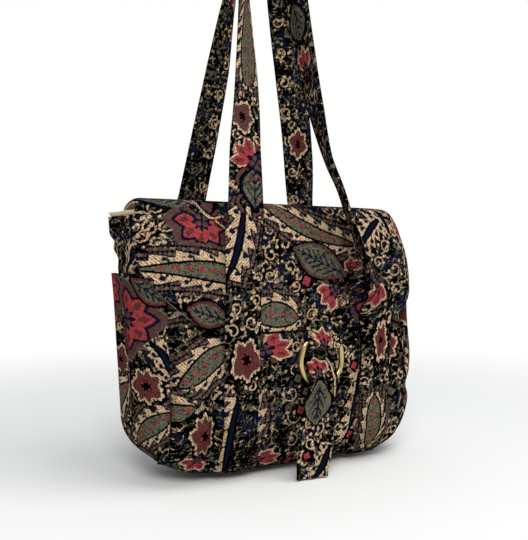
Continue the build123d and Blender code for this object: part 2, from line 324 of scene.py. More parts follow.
# Jacquard tapestry, woven from matt wool and cotton: no gloss, ragged edges between colours,
# twill lines in the pale yarn, which is raised as the red is.
# Every yarn shows where the cloth lies inside its shapes
def tapestryMaterial():
    material = bpy.data.materials.new("wovenTapestry")
    material.use_nodes = True
    shader = material.node_tree.nodes["Principled BSDF"]
    cut = add(material, "UVMap", {"uv_map": "cloth"}).outputs["UV"]
    thread = 1 / weave["thread"]
    cells = add(material, "VectorMath", {"operation": "MULTIPLY"}, i0=cut, i1=(thread, thread, thread))
    snapped = add(material, "VectorMath", {"operation": "FLOOR"}, i0=cells)
    fleck = add(material, "TexWhiteNoise", {"noise_dimensions": "2D"}, Vector=snapped)
    ragged = add(material, "MapRange", None, Value=fleck.outputs["Value"],
                 i3=-weave["ragged"], i4=weave["ragged"])
    twill = add(material, "TexWave", {"wave_type": "BANDS", "bands_direction": "DIAGONAL"},
                Vector=cut, Scale=0.19, Distortion=0.6)
    colour = linear(blackYarn)
    shown = {}
    for group in yarnGroups:
        fields = add(material, "Attribute", {"attribute_name": group[0]})
        parts = add(material, "SeparateXYZ", None, Vector=fields.outputs["Vector"])
        for axis, yarn in enumerate(group):
            depth = add(material, "Math", {"operation": "ADD"}, i0=parts.outputs[axis], i1=ragged)
            part = add(material, "MapRange", None, Value=depth,
                       i1=-weave["soft"], i2=weave["soft"])
            shown[yarn] = part
            mixed = add(material, "Mix", {"data_type": "RGBA"}, i0=part, i6=colour, i7=linear(yarns[yarn]))
            colour = mixed.outputs[2]
    gaps = add(material, "MapRange", None, Value=twill.outputs["Fac"], i1=0.2, i2=0.55, i3=0.45, i4=0.0)
    lines = add(material, "Math", {"operation": "MULTIPLY"}, i0=gaps, i1=shown["cream"])
    mottle = add(material, "MapRange", None, Value=fleck.outputs["Value"], i3=0.42, i4=1.42)
    both = add(material, "Math", {"operation": "SUBTRACT"}, i0=mottle, i1=lines)
    shaded = add(material, "VectorMath", {"operation": "SCALE"}, i0=colour, Scale=both)
    material.node_tree.links.new(shaded.outputs[0], shader.inputs["Base Color"])
    raised = add(material, "Math", {"operation": "ADD"}, i0=shown["cream"], i1=shown["red"])
    ribs = add(material, "TexWave", {"wave_type": "BANDS", "bands_direction": "X"}, Vector=cut, Scale=0.3)
    relief = add(material, "Math", {"operation": "MULTIPLY_ADD"}, i0=ribs.outputs["Fac"], i1=0.6, i2=raised)
    bumped = add(material, "Bump", None, Strength=0.5, Distance=0.0003, Height=relief)
    material.node_tree.links.new(bumped.outputs[0], shader.inputs["Normal"])
    shader.inputs["Roughness"].default_value = 0.85
    shader.inputs["Specular IOR Level"].default_value = 0.0
    return material


finishes = {
    "tapestry": tapestryMaterial(),
    "lining": plain("liningCotton", "#d8c5a0"),  # plain-woven cotton, matt and even
}
# Cast brass, tumbled and polished: pale gold with soft highlights
brass = plain("polishedBrass", "#c8b078", 0.3)
brass.node_tree.nodes["Principled BSDF"].inputs["Metallic"].default_value = 1.0


# Draws on one piece's cloth. Every yarn keeps how far inside its shapes each place lies
class Weaver:
    def __init__(self, x, y):
        self.x, self.y = x, y
        self.fields = {yarn: np.full(x.shape, -9.0) for yarn in yarns}
        self.near = np.arange(len(x))
        self.grain = self.cloudy(5.5, 2.4, 3)

    # Soft noise over the cloth, its patches so many millimetres across and along
    def cloudy(self, across, along, seed):
        return np.array([noise.noise(Vector((a / across, b / along, seed))) for a, b in zip(self.x, self.y)])

    # Places near a motif, in its own millimetres
    def local(self, centre, angle=0.0, stretch=(1.0, 1.0), reach=60.0):
        away = np.hypot(self.x - centre[0], self.y - centre[1])
        self.near = np.nonzero(away < reach * max(stretch) * 1.5)[0]
        dx, dy = self.x[self.near] - centre[0], self.y[self.near] - centre[1]
        c, s = cos(radians(angle)), sin(radians(angle))
        return (dx / stretch[0] * c + dy / stretch[1] * s), (dy / stretch[1] * c - dx / stretch[0] * s)

    # Thin dark threads across a leaf
    def flecked(self, inside):
        self.paint("navy", np.minimum((0.1 - np.abs(self.grain[self.near])) * 4, np.minimum(inside, 0.02)))

    # yarn None leaves the black ground
    def paint(self, yarn, depth):
        for name, field in self.fields.items():
            now = field[self.near]
            field[self.near] = np.maximum(now, depth) if name == yarn else np.minimum(now, -depth)


# From 0 in the middle of each period to 1 at its ends
def saw(value):
    return np.abs((value % 1.0) - 0.5) * 2


def oval(x, y, a, b):
    return (1 - np.hypot(x / a, y / b)) * min(a, b)


# Inside a line through points, or outside it
def strokeDepth(x, y, points, width):
    line = smoothPath([(px, py, 0) for px, py in points], 2.0)
    best = np.full(x.shape, 1e6)
    for start, end in zip(line, line[1:]):
        dx, dy = end.x - start.x, end.y - start.y
        t = np.clip(((x - start.x) * dx + (y - start.y) * dy) / max(dx * dx + dy * dy, 1e-9), 0, 1)
        best = np.minimum(best, np.hypot(x - start.x - dx * t, y - start.y - dy * t))
    return width / 2 - best


# A curved leaf with a scalloped cream edge. bend is how far its middle is to the left
def paisley(w, start, end, bend, wide, lean=1.0, peak=8.0, pitch=18.0, teeth=(1, 1), core="olive",
            flecks=True, fringe=True):
    dx, dy = end[0] - start[0], end[1] - start[1]
    length = hypot(dx, dy)
    centre = ((start[0] + end[0]) / 2, (start[1] + end[1]) / 2)
    x, y = w.local(centre, degrees(atan2(dy, dx)), reach=length / 2 + 30)
    s = np.clip(x / length + 0.5, 0, 1)
    y = y - bend * np.sin(pi * s)
    profile = np.sin(pi * s**lean) ** 0.6
    ends = np.minimum(x + length / 2, length / 2 - x)
    half = wide * profile
    body = np.minimum(half - np.abs(y), ends + 2)
    step = x / pitch
    side = np.where(y > 0, teeth[0], teeth[1])
    crest = half + 2.4 + peak * (0.28 + 0.72 * (1 - ((step + 0.12 * y / peak) % 1.0)) ** 1.1) * side
    scallop = np.minimum(crest - np.abs(y), ends + 4)
    scallop = np.where(side > 0, scallop, -5)
    if fringe:
        out = np.minimum(crest + 9 - np.abs(y), ends + 8)
        out = np.where(side > 0, out, -5)

        def diamonds(shift):
            return 2.3 - (saw(x / 7 + shift + 0.5 * np.floor(y / 5)) * 3.5 + np.abs((y % 5) - 2.5)) * 0.8
        w.paint(None, out)
        w.paint("mauve", np.minimum(diamonds(0), out))
        w.paint("olive", np.minimum(diamonds(0.5) - 0.5, out))
        w.paint("navy", scallop + 1.6)
    w.paint("cream", scallop)
    hookX = (step % 1.0 - 0.42) * pitch
    hookY = np.abs(y) - half - 2.4 - peak * 0.36
    comma = oval(hookX, hookY, 2.6, peak * 0.24)
    stalk = np.minimum(1.1 - np.abs(hookX - 1.8 + hookY * 0.6), -hookY)
    w.paint("navy", np.minimum(np.maximum(comma, stalk), scallop - 0.8))
    w.paint(None, body + 2.2)
    w.paint(core, body)
    w.flecked(body - 0.8)
    if flecks:
        count = max(int(length / 11), 2)
        fx = (s * count % 1.0 - 0.5) * length / count
        fleckShape = oval(fx, y + 0.25 * fx - 0.8, 3.2, 1.5)
        w.paint("red", np.minimum(fleckShape, body - 1.5))


# A red flower opening round a navy heart, followed by a mauve zigzag
def fan(w, centre, radius, turn, spread=200.0, petals=5, stretch=(1.0, 1.0), zigzag=True):
    x, y = w.local(centre, turn, stretch, radius * 1.7)
    far = np.hypot(x, y)
    angle = np.degrees(np.arctan2(y, x))
    place = angle / spread * petals + 0.5 * (petals % 2)
    inside = (spread / 2 - np.abs(angle)) / 57.3 * np.maximum(far, 6)
    edge = radius * (0.7 + 0.3 * (1 - saw(place)))
    rim = (edge - far) * 0.85
    petal = np.minimum(rim, inside)
    if zigzag:
        w.paint("olive", np.minimum(rim + 9.2, inside + 4))
        w.paint("mauve", np.minimum(rim + 8.0, inside + 3))
        w.paint("navy", petal + 2.8)
    else:
        w.paint("cream", petal + 2.0)
    w.paint("red", petal)
    spot = oval((far - radius * 0.66), (place % 1.0 - 0.5) * radius * 0.62, radius * 0.17, radius * 0.12)
    w.paint("maroon", spot)
    heart = radius * (0.36 + 0.08 * np.cos(np.radians(angle) * petals * 2)) - far
    w.paint("navy", heart)
    w.paint("mauve", oval(far - radius * 0.17, saw(angle / 90) * 6 - 1, radius * 0.12, 3.2))


# A flower with a serrated cream outline and a dark heart
def bloom(w, centre, radius, turn=0.0, stretch=(1.0, 1.0), petals=7, yarn="maroon"):
    x, y = w.local(centre, turn, stretch, radius * 1.6)
    far = np.hypot(x, y)
    angle = np.degrees(np.arctan2(y, x))
    angle = angle + 13 * np.sin(np.radians(2 * angle + centre[0]))
    edge = radius * (0.68 + 0.32 * (1 - saw(angle / 360 * petals)))
    rays = (1 - saw(angle / 360 * petals * 4)) * 2.7
    w.paint(None, edge - far + 5.0)
    w.paint("cream", edge - far + rays + 0.3)
    w.paint(yarn, (edge - far) * 0.9 - 0.7)
    w.paint(None, radius * (0.24 + 0.16 * (1 - saw(angle / 60))) - far)
    dots = 1.5 - np.hypot(far - radius * 0.26, saw(angle / 60) * 4)
    w.paint("red", dots)


# A broad leaf with dark veins and a rim
def palmette(w, base, tip, wide, yarn="olive", rim="maroon"):
    dx, dy = tip[0] - base[0], tip[1] - base[1]
    length = hypot(dx, dy)
    centre = ((base[0] + tip[0]) / 2, (base[1] + tip[1]) / 2)
    x, y = w.local(centre, degrees(atan2(dy, dx)), reach=length / 2 + 12)
    s = np.clip(x / length + 0.5, 0, 1)
    body = np.minimum(wide * np.sin(pi * s**1.15) ** 0.75 - np.abs(y), length / 2 - np.abs(x))
    w.paint(None, body + 4.5)
    w.paint(rim, body + 2.2)
    w.paint(yarn, body)
    w.flecked(body - 0.8)
    slant = (x - np.abs(y) * 1.3) / 8.0
    vein = 1.25 - np.abs((slant % 1.0) - 0.5) * 8.0
    vein = np.minimum(vein, wide * 0.72 * np.sin(pi * s) - np.abs(y))
    w.paint("navy", np.minimum(np.maximum(vein, 0.8 - np.abs(y)), body - 1.5))


def floret(w, centre, radius=4.5, yarn="red"):
    x, y = w.local(centre, 20, reach=radius * 2)
    angle = np.arctan2(y, x)
    far = np.hypot(x, y)
    w.paint(None, radius + 2 - far)
    w.paint(yarn, radius * (0.62 + 0.38 * np.abs(np.cos(2 * angle))) - far)
    w.paint(None, 0.9 - far)


# A thin curling line with a dot at its ends
def vine(w, points, width, yarn="cream", dots=False):
    reach = max(hypot(px - points[0][0], py - points[0][1]) for px, py in points)
    w.local(points[0], reach=reach + 8)
    x, y = w.x[w.near], w.y[w.near]
    depth = strokeDepth(x, y, points, width)
    w.paint(None, depth + 1.5)
    w.paint(yarn, depth)
    if dots:
        for px, py in (points[0], points[-1]):
            w.paint(yarn, 1.7 - np.hypot(x - px, y - py))


# A scroll that winds in, with buds outside it
def curl(w, centre, radius, turn, hand=1, yarn="cream", width=1.25):
    points = []
    for step in range(9):
        angle = radians(turn + hand * step * 42)
        far = radius * (1 - step * 0.085)
        points.append((centre[0] + far * cos(angle), centre[1] + far * sin(angle)))
    vine(w, points, width, yarn, True)
    for step in (1, 3, 5):
        angle = radians(turn + hand * step * 42)
        px = centre[0] + (radius + 2.6) * cos(angle)
        py = centre[1] + (radius + 2.6) * sin(angle)
        x, y = w.local((px, py), reach=4)
        w.paint(yarn, 1.4 - np.hypot(x, y))


# Scrolls in rows: the middle across and along, the radius, the turn and the hand
def curls(w, rows, shift=(0.0, 0.0)):
    for px, py, radius, turn, hand in rows:
        curl(w, (shift[0] + px, shift[1] + py), radius, turn, hand)


# A navy stem with scalloped cream edges
def stem(w, start, end, bend, wide, peak, pitch, fringe=False, teeth=(1, 1)):
    paisley(w, start, end, bend, wide, 1, peak, pitch, teeth, "navy", False, fringe)


# A red flower of three petals with a cream edge
def blossom(w, centre, radius, turn, spread=150, stretch=(1.0, 1.0)):
    fan(w, centre, radius, turn, spread, 3, stretch, False)


def florets(w, places, radius=4.5, yarn="red"):
    for place in places:
        floret(w, place, radius, yarn)


# Black and navy patches under olive worm-like lines and cream specks
def ground(w, seed, navy=0.16):
    w.near = np.arange(len(w.x))
    broad = w.cloudy(19, 19, seed)
    fine = w.cloudy(5, 5, seed + 5)
    w.paint("navy", (broad - navy) * 14)
    w.paint("olive", np.minimum((0.08 - np.abs(fine)) * 9, 0.12))
    specks = w.cloudy(4.2, 4.2, seed + 9)
    w.paint("cream", (specks - 0.55) * 8)
    long = w.cloudy(11, 11, seed + 13)
    w.paint("cream", np.minimum((0.036 - np.abs(long)) * 9, np.minimum(fine * 6, 0.05)))


tile = {"across": 168.0, "along": 210.0}


# The cloth's repeat, where no motif is placed one by one
def scatter(w, shift):
    spanX, spanY = tile["across"], tile["along"]
    for column in range(int(floor(w.x.min() / spanX)) - 1, int(ceil(w.x.max() / spanX)) + 1):
        for row in range(int(floor(w.y.min() / spanY)) - 1, int(ceil(w.y.max() / spanY)) + 1):
            ox, oy = column * spanX + shift[0], row * spanY + shift[1]
            if ox - 60 > w.x.max() or ox + spanX + 60 < w.x.min():
                continue
            if oy - 60 > w.y.max() or oy + spanY + 60 < w.y.min():
                continue

            def at(px, py):
                return (ox + px, oy + py)
            curls(w, (
                (18, 100, 8, 0, 1), (40, 118, 7, 120, -1), (90, 60, 8, 200, 1), (110, 78, 6, 30, -1),
                (70, 160, 8, 300, 1), (150, 108, 7, 90, 1), (128, 20, 8, 250, -1), (20, 20, 7, 160, 1),
                (150, 170, 7, 20, -1), (60, 12, 6, 60, 1), (96, 196, 7, 140, 1), (8, 60, 6, 10, -1),
            ), (ox, oy))
            paisley(w, at(10, 142), at(92, 128), 12, 8, 0.8)
            paisley(w, at(150, 60), at(112, 148), 10, 7, 0.9)
            fan(w, at(48, 196), 24, 270)
            bloom(w, at(40, 60), 17, 20)
            bloom(w, at(128, 186), 15, 60, petals=6)
            palmette(w, at(84, 92), at(124, 112), 12)
            stem(w, at(60, 16), at(100, 44), -8, 2.2, 12, 13)
            florets(w, (at(12, 172), at(78, 112), at(152, 20), at(98, 168), at(20, 84)))


# Writes the yarns of a piece's cloth into its points
def weavePiece(piece, drawing):
    mesh = piece.data
    loops = np.empty(len(mesh.loops), dtype=np.int64)
    mesh.loops.foreach_get("vertex_index", loops)
    cut = np.empty(len(mesh.loops) * 2)
    mesh.uv_layers["cloth"].data.foreach_get("uv", cut)
    flat = np.zeros((len(mesh.vertices), 2))
    flat[loops] = cut.reshape(-1, 2)
    w = Weaver(flat[:, 0], flat[:, 1])
    drawing(w)
    for group in yarnGroups:
        layer = mesh.attributes.new(group[0], "FLOAT_VECTOR", "POINT")
        layer.data.foreach_set("vector", np.column_stack([w.fields[yarn] for yarn in group]).ravel())


# Draws one part of a cloth afresh
def redraw(w, where, drawing):
    part = Weaver(w.x[where], w.y[where])
    drawing(part)
    for yarn in yarns:
        w.fields[yarn][where] = part.fields[yarn]


def repeated(shift, seed):
    def drawing(w):
        ground(w, seed)
        scatter(w, shift)
    return drawing


def weaveFrontPocket(w):
    ground(w, 11.0)
    curls(w, (
        (-9, 108, 9, 40, -1), (-14, 84, 9, 180, 1), (8, 96, 7, 300, 1), (-8, 62, 10, 160, 1),
        (12, 74, 7, 80, -1), (10, 50, 8, 300, -1), (-10, 36, 8, 100, -1), (14, 28, 7, 0, 1),
        (28, 60, 7, 200, 1), (40, 96, 8, 40, 1), (48, 122, 8, 230, -1), (30, 114, 7, 100, 1),
        (-8, 128, 7, 0, 1), (-96, 88, 6, 30, 1), (44, 44, 7, 0, -1), (60, 112, 6, 90, 1),
        (22, 16, 7, 40, 1), (-2, 18, 6, 200, -1), (100, 110, 7, 0, 1), (112, 60, 8, 90, 1),
        (124, 30, 7, 200, -1), (128, 92, 7, 130, 1), (106, 20, 7, 300, 1),
    ))
    paisley(w, (-132, 99), (-80, 134), 2, 9.5, 1.1, 9, 19)
    paisley(w, (-166, 58), (-120, 80), 2, 7.5, 1.2, 9, 17, (1, 0))
    bloom(w, (-109, 51), 17, 55, (0.9, 1.3), 7)
    blossom(w, (-110, 22), 13, 250, 150, (1.2, 1.0))
    blossom(w, (-42, 18), 15, 20, 120, (1.5, 0.8))
    stem(w, (-66, 92), (-58, 40), 6, 2.2, 13, 15, True)
    stem(w, (54, 30), (72, 96), -6, 2.4, 14, 15)
    paisley(w, (92, 24), (94, 86), 0, 9, 0.9, 8, 16)
    bloom(w, (104, 124), 15, 0, (1.0, 1.4), 8)
    blossom(w, (-44, 128), 20, 20, 120, (1.5, 0.9))
    florets(w, ((-2, 66), (8, 38), (63, 106), (62, 33), (-4, 12), (16, 112)), 4.6)
    florets(w, ((4, 84), (-6, 98), (34, 84), (24, 44), (116, 74)), 4.6, "olive")


def weaveLeftPocket(w):
    ground(w, 4.0)
    curls(w, (
        (-152, 122, 6, 20, 1), (-150, 150, 7, 90, -1), (-146, 188, 7, 10, 1), (-158, 112, 5, 180, 1),
        (-190, 130, 7, 40, 1), (-210, 110, 8, 10, -1), (-205, 70, 8, 120, 1), (-145, 96, 6, 0, 1),
        (-225, 150, 8, 0, 1), (-228, 90, 8, 200, -1), (-195, 50, 8, 100, 1), (-225, 50, 8, 10, 1),
    ))
    paisley(w, (-196, 30), (-139, 74), 5, 8.5, 1.3, 9, 14)
    bloom(w, (-168, 99), 16, 0, (1.3, 1.0), 7)
    fan(w, (-193, 160), 26, 0, 210, 5, (1.55, 1.05))
    fan(w, (-232, 190), 22, 0, 200, 5)
    bloom(w, (-222, 118), 15, 40)
    paisley(w, (-236, 60), (-210, 96), 4, 7)
    stem(w, (-158, 138), (-141, 112), 4, 2.0, 9, 12)
    palmette(w, (-160, 20), (-200, 22), 8)
    palmette(w, (-176, 196), (-144, 176), 8)


def weaveFlap(w):
    ground(w, 1.0, 0.02)
    curls(w, (
        (-158, 108, 7, 0, 1), (-148, 118, 8, 60, -1), (-150, 98, 7, 120, 1), (-158, 90, 6, 200, 1),
        (-140, 100, 7, 20, -1), (-148, 84, 6, 0, 1), (-112, 40, 8, 90, 1), (-124, 34, 7, 200, -1),
        (-96, 34, 7, 0, 1), (-104, 22, 6, 40, 1), (-92, 14, 7, 220, -1), (-84, 30, 6, 20, 1),
        (-36, 98, 8, 20, 1), (-22, 84, 9, 200, -1), (-38, 74, 8, 100, 1), (-18, 62, 7, 300, 1),
        (-40, 54, 7, 0, -1), (-10, 44, 7, 200, 1), (8, 14, 7, 40, 1), (24, 8, 6, 220, -1),
        (46, 26, 7, 0, 1), (56, 116, 8, 0, 1), (40, 122, 7, 200, 1), (104, 82, 8, 40, 1),
        (112, 60, 8, 200, 1), (90, 66, 7, 0, 1), (126, 100, 8, 120, 1), (96, 44, 8, 0, 1),
        (116, 38, 7, 180, -1), (136, 76, 8, 20, 1), (134, 52, 7, 90, 1), (-130, 78, 6, 180, 1),
    ))
    palmette(w, (-104, 124), (-158, 132), 10, "olive", "navy")
    fan(w, (-107, 105), 25, 262, 210, 5)
    floret(w, (-99, 120), 7, "mauve")
    vine(w, [(-120, 132), (-108, 118), (-96, 108), (-84, 98), (-74, 92)], 1.8)
    vine(w, [(-84, 110), (-98, 108), (-108, 120), (-110, 134)], 1.8)
    paisley(w, (-162, 60), (-62, 49), 5, 7.5, 1.6, 9.5, 20)
    palmette(w, (-84, 12), (-122, 24), 10)
    paisley(w, (-42, 132), (64, 84), -10, 6.6, 0.7, 9, 17)
    stem(w, (70, 82), (106, 112), 4, 2.2, 13, 12)
    stem(w, (106, 128), (118, 98), 4, 2.0, 9, 12)
    palmette(w, (48, 54), (-10, 79), 14, "olive", "mauve")
    blossom(w, (60, 58), 13, 95)
    blossom(w, (36, 38), 20, 216, 118)
    paisley(w, (-56, 16), (-8, 12), 2, 11, 1.0, 9, 17)
    floret(w, (3, 48), 5.5)
    fan(w, (80, 30), 18, 300, 160, 3)
    bloom(w, (130, 130), 14, 0)
    fan(w, (146, 100), 15, 190, 180, zigzag=False)
    redraw(w, w.y > 165, repeated((0, 165), 3.0))  # over the top and down the back


def weaveFrontHandle(w):
    repeated((-40, 20), 6.0)(w)
    redraw(w, (w.y < 480) | (w.y > 780), lambda legs: ground(legs, 14.0))
    curls(w, (
        (-10, 96, 7, 0, 1), (12, 92, 6, 90, -1), (12, 150, 7, 40, 1), (-8, 158, 8, 200, 1),
        (10, 172, 7, 300, -1), (-12, 178, 6, 30, 1), (-14, 200, 5, 0, 1), (-13, 262, 5, 80, -1),
        (14, 286, 5, 0, 1), (-14, 334, 6, 30, 1), (14, 336, 6, 200, 1), (12, 374, 6, 90, 1),
        (-12, 376, 6, 0, -1), (58, 1080, 6, 0, 1), (90, 1092, 6, 90, 1), (62, 1140, 6, 200, 1),
        (60, 1160, 6, 30, -1), (90, 1156, 6, 300, 1), (58, 1230, 6, 90, 1), (0, 850, 8, 0, 1),
        (76, 905, 7, 90, 1), (68, 930, 7, 0, -1), (84, 950, 7, 200, 1), (72, 975, 7, 60, 1),
        (80, 1000, 7, 0, 1), (70, 1022, 7, 120, -1), (0, 905, 7, 30, 1), (8, 940, 7, 0, 1),
        (-6, 980, 7, 90, 1),
    ))
    stem(w, (9, 6), (6, 84), -5, 2.4, 16, 19, True, (0, 1))
    bloom(w, (-3, 122), 18, 80, (0.95, 1.15), 5)
    stem(w, (17, 203), (3, 264), 5, 2.2, 13, 18, True)
    vine(w, [(4, 262), (10, 272), (4, 282), (11, 292), (5, 302)], 3.4, "mauve")
    palmette(w, (-9, 268), (-8, 304), 13, "olive", "navy")
    blossom(w, (-11, 312), 29, 30, 100, (1, 0.85))
    bloom(w, (8, 354), 16, 0, (1, 1), 5, "mauve")
    paisley(w, (1, 386), (1, 480), 1, 13, 0.7, 7, 13)
    paisley(w, (74, 1176), (76, 1234), 0, 8.5, 0.9, 6, 14)
    bloom(w, (80, 1118), 11, 90, (0.8, 1.9), 6)
    blossom(w, (70, 1052), 17, 100, 150, (1, 1.4))
    palmette(w, (-4, 750), (0, 790), 14, "olive", "navy")
    blossom(w, (0, 822), 18, 270, 130, (0.8, 1.3))


def weaveBackHandle(w):
    ground(w, 12.0)
    # Every other row of curls is olive rather than cream: partly the strap's own darker pattern, partly
    # painted shade for the back handle, which lies in shade at the back
    for step in range(int(w.y.max() / 17)):
        side = 10 if step % 2 else -9
        for middle in (side, 76 - side):  # the strap's two faces
            curl(w, (middle, 10 + step * 17), 7, step * 75, 1 if step % 3 else -1,
                 "cream" if step % 2 else "olive", 1.3)
    for along in (60, 430, 1180):
        paisley(w, (-6, along), (8, along + 46), 3, 5, 0.8, 7, 13)
        bloom(w, (74, along + 90), 13)
    for along in (170, 560, 1090):
        bloom(w, (2, along), 14, along)
        paisley(w, (70, along), (82, along + 50), 3, 5, 0.8, 7, 13)
    bloom(w, (76, 880), 15, 0, (0.8, 1.2), 6)
    for along in (250, 500, 700, 1010):
        palmette(w, (-8, along), (8, along + 34), 9)
        blossom(w, (76, along), 13, 90)


def weaveTab(w):
    ground(w, 3.0)
    blossom(w, (-2, 26), 14, 275, 130, (1.0, 1.3))
    for px, py in ((13, 24), (-14, 14), (12, 12), (-13, 30)):
        curl(w, (px, py), 4, 30)
    floret(w, (14, 18), 3, "cream")


def weaveTail(w):
    ground(w, 8.0)
    curls(w, (
        (-10, 76, 6, 0, 1), (4, 82, 7, 120, -1), (-6, 96, 6, 60, 1), (10, 100, 6, 0, 1),
        (-12, 114, 6, 200, 1), (4, 116, 6, 90, -1), (14, 120, 5, 0, 1),
    ))
    blossom(w, (-6, 28), 14, 270)
    palmette(w, (-4, 38), (-2, 76), 13, "olive", "olive")
    vine(w, [(8, 14), (12, 34), (15, 52)], 1.6)
    stem(w, (0, 132), (16, 104), 3, 2, 9, 11)
    floret(w, (-9, 108), 4)


print("forms, cloth and motifs ready")


# How far the rounded edge has turned away where the seams lie
seamDrop = shellForm["edge"] - sqrt(shellForm["edge"]**2 - (shellForm["edge"] - bag["seamInset"])**2)


def panelPlace(side):
    def place(u, v):
        z = seamDrop + (bag["height"] - seamDrop) * v
        reach = halfWidth(shellForm, z) - seamDrop
        if z < shellForm["corner"]:
            corner = shellForm["corner"]
            low = corner - z
            reach = shellForm["half"] - corner + sqrt(max((corner - seamDrop) ** 2 - low**2, 0))
        across = 2 * u - 1
        x = across * reach
        depth = faceDepth(shellForm, x, z)
        return (x, side * depth, z), (x * -side, z)
    return place


# The gussets and the base: u along the outline, v from front to back
def stripPlace(u, v):
    corner = shellForm["corner"]
    flat = shellForm["half"] - corner
    arc = corner * pi / 2
    rise = bag["height"] - corner
    total = flat + arc + rise
    along = abs(2 * u - 1) * total
    hand = -1 if u < 0.5 else 1
    if along < flat:
        x, z, nx, nz = along, 0.0, 0.0, -1.0
    elif along < flat + arc:
        turn = (along - flat) / corner
        x, z = flat + corner * sin(turn), corner - corner * cos(turn)
        nx, nz = sin(turn), -cos(turn)
    else:
        z = along - flat - arc + corner
        x, nx, nz = halfWidth(shellForm, z), 1.0, 0.0
    depth = halfDepth(shellForm, z)
    y = (2 * v - 1) * (depth - bag["seamInset"])
    edge = shellForm["edge"]
    over = max(abs(y) - (depth - edge), 0)
    drop = edge - sqrt(edge**2 - over**2)
    return (hand * (x - nx * drop), y, z - nz * drop), (y, hand * along)


for name, side, node in (("frontPanel", -1, "front_panel"), ("backPanel", 1, "back_panel")):
    panel = clothGrid(name, 200, 160, panelPlace(side))
    finishPiece(panel, "tapestry", [node], repeated((10, 30), 2.0))
strip = clothGrid("gussetStrip", 620, 56, stripPlace)
finishPiece(strip, "tapestry", ["gusset_left", "gusset_right", "base_panel"],
            repeated((60, 40), 7.0))
print("body panels done")


liningFit = {"gap": 3.0, "rim": 4.3, "round": 860}


# A point on a rounded rectangle, u round it from the middle of the front
def roundRing(a, b, corner, u):
    flatX, flatY = a - corner, b - corner
    arc = corner * pi / 2
    along = (u % 1.0) * (4 * flatX + 4 * flatY + 4 * arc)
    hand = 1
    half = 2 * flatX + 2 * flatY + 2 * arc
    if along > half:
        along = 2 * half - along
        hand = -1
    if along < flatX:
        x, y = along, -b
    elif along < flatX + arc:
        turn = (along - flatX) / corner
        x, y = flatX + corner * sin(turn), -flatY - corner * cos(turn)
    elif along < flatX + arc + 2 * flatY:
        x, y = a, -flatY + along - flatX - arc
    elif along < flatX + 2 * arc + 2 * flatY:
        turn = (along - flatX - arc - 2 * flatY) / corner
        x, y = flatX + corner * cos(turn), flatY + corner * sin(turn)
    else:
        x, y = half - along, b
    return hand * x, y


# A ring round the hollow: u round the bag, v from the floor of the bag to the rolled edge
def liningPlace(u, v):
    gap = liningFit["gap"]
    top = bag["height"] + liningFit["rim"]
    z = gap + 1 + (top - gap - 1) * v
    low = min(z, bag["height"])
    edge = shellForm["edge"] - gap
    a = halfWidth(shellForm, low) - gap
    b = faceDepth(shellForm, 0, low) - gap
    rolled = 2.2 * smoothStep(0, 1.5, z - bag["height"] - 0.3)
    near = max(edge + gap - z, 0) if z < 80 else 0
    side = edge - sqrt(max(edge**2 - near**2, 0))
    a = max(a - side * 0.5, 60)
    x, y = roundRing(a + rolled, b + rolled, min(edge, b - 2), u)
    return (x, y, z), (u * liningFit["round"], z)


lining = clothGrid("bagLining", 240, 60, liningPlace)
finishPiece(lining, "lining",
            ["lining_front", "lining_back", "lining_left", "lining_right", "lining_base"])
print("lining done")


pockets = {"sideReach": 138.0, "sideBack": 26.0, "hem": 8.0, "sideLow": 12.0,
           "sideTop": 202.0, "frontTop": 143.5}


def frontPocketPlace(u, v):
    z = pockets["hem"] + (pockets["frontTop"] - pockets["hem"]) * v
    x = (2 * u - 1) * pockets["sideReach"]
    depth = faceDepth(pocketForm, x, z) - 1.0
    shell = faceDepth(shellForm, x, z) + 1.2
    fromEdge = pockets["sideReach"] - abs(x)
    tuck = max(1 - smoothStep(0, 5, fromEdge), 1 - smoothStep(0, 6, z - pockets["hem"]))
    depth += (shell - depth) * tuck
    return (x, -depth, z), (x, z)


def sidePocketPlace(hand):
    def place(u, v):
        z = pockets["sideLow"] + (pockets["sideTop"] - pockets["sideLow"]) * v
        a, b = halfWidth(pocketForm, z), halfDepth(pocketForm, z)
        wall = halfWidth(shellForm, z)
        edge = pocketForm["edge"]
        turnLength = a - pockets["sideReach"] + edge * 0.57
        flatLength = b - edge + pockets["sideBack"]
        total = turnLength + flatLength
        along = u * total
        if along < turnLength:
            part = sin(along / turnLength * pi / 2)
            x = pockets["sideReach"] + (a - pockets["sideReach"]) * part
            y = -(faceDepth(pocketForm, x, z) - 1.0)
            tuck = 1 - smoothStep(0, 5, along)
            shell = faceDepth(shellForm, min(x, wall), z) + 1.2
            y -= (y + shell) * tuck
            x -= 1.0 * part
        else:
            y = -(b - edge) + (along - turnLength)
            x = a - 1.0
            tuck = 1 - smoothStep(0, 6, total - along)
            x += (wall + 1.2 - x) * tuck
        low = 1 - smoothStep(0, 6, z - pockets["sideLow"])
        if low and along >= turnLength:
            x += (wall + 1.2 - x) * low
        return (hand * x, y, z), (hand * (along + pockets["sideReach"]), z)
    return place


frontPocket = clothGrid("frontPocket", 248, 120, frontPocketPlace)
thicken(frontPocket, bag["cloth"])
finishPiece(frontPocket, "tapestry", ["front_pocket"], weaveFrontPocket)
for name, hand, node, drawing in (
    ("sidePocketLeft", -1, "side_pocket_left", weaveLeftPocket),
    ("sidePocketRight", 1, "side_pocket_right", repeated((20, -30), 9.0)),
):
    pocket = clothGrid(name, 96, 166, sidePocketPlace(hand))
    thicken(pocket, bag["cloth"])
    finishPiece(pocket, "tapestry", [node], drawing)
print("pockets done")


flapSize = {
    "bottom": 146.0,
    "halfBottom": 93.0,
    "half": 163.0,
    "thick": 3.0,
    "sewnFrom": 226.0,
    "crest": 275.0,
}


